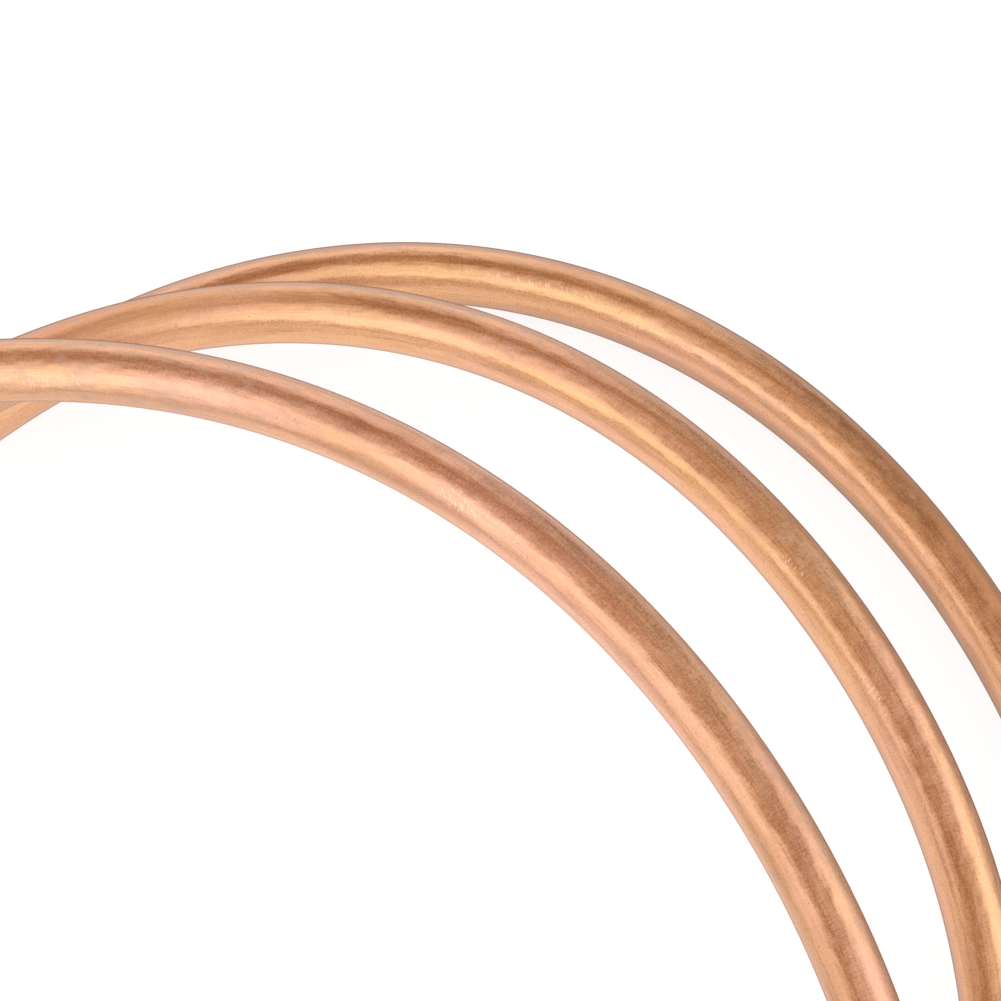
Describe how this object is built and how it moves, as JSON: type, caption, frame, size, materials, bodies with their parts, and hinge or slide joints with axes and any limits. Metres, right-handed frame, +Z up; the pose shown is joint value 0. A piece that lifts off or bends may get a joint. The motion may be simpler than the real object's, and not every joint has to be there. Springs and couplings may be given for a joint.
{
  "type": "copper tube coil",
  "caption": "Loose coil of soft copper tube lying flat, its open turns slid over one another, with two square-cut ends ready for a fitting.",
  "frame": {"origin": "on the floor, under the middle of the coil's bounding box", "axes": "+Z up, along the coil's axis; +X to the right, along the coil's longest extent; +Y to the back"},
  "size_m": [0.3144, 0.2588, 0.0306],
  "materials": {
    "copper": "satin drawn copper, lightly handled, with fine draw lines and a few dull oxide patches"
  },
  "bodies": {
    "root": {"copper_tube": "copper"}
  },
  "joints": []
}
